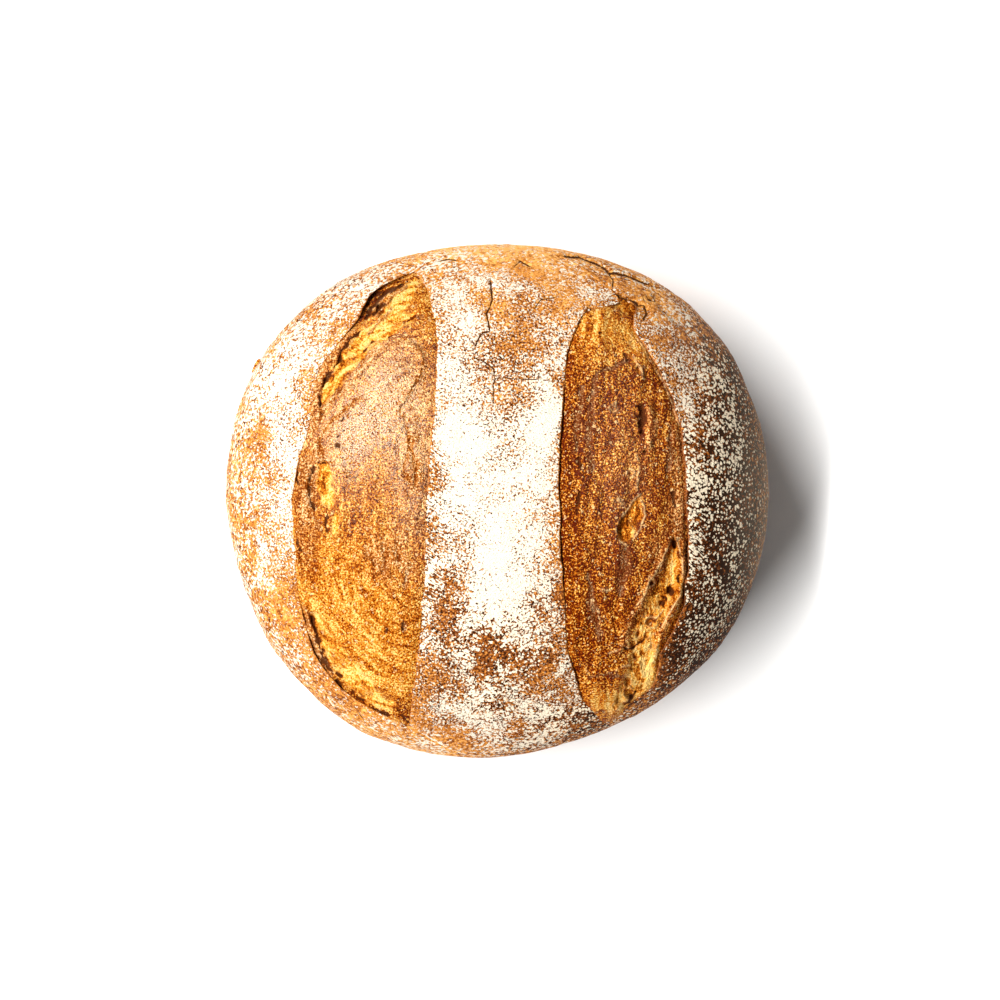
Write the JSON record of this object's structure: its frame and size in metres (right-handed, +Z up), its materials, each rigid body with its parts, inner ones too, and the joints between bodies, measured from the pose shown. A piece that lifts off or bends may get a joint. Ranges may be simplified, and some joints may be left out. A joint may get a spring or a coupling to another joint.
{
  "type": "quark bread",
  "caption": "Round hearth-baked quark bread with a domed, floured crust, two long burst scores with lifted edges and a flat foot.",
  "frame": {"origin": "middle of the flat foot, at the level the loaf rests on", "axes": "+X to the side of the right burst, +Y along the scores to the back, +Z up"},
  "size_m": [0.2278, 0.2158, 0.0986],
  "materials": {
    "crust": "matt, browned, dusted with flour",
    "burst": "satin, golden to deep brown torn dough",
    "flour": "matt powder"
  },
  "bodies": {
    "root": {"loaf": "crust"}
  },
  "joints": []
}
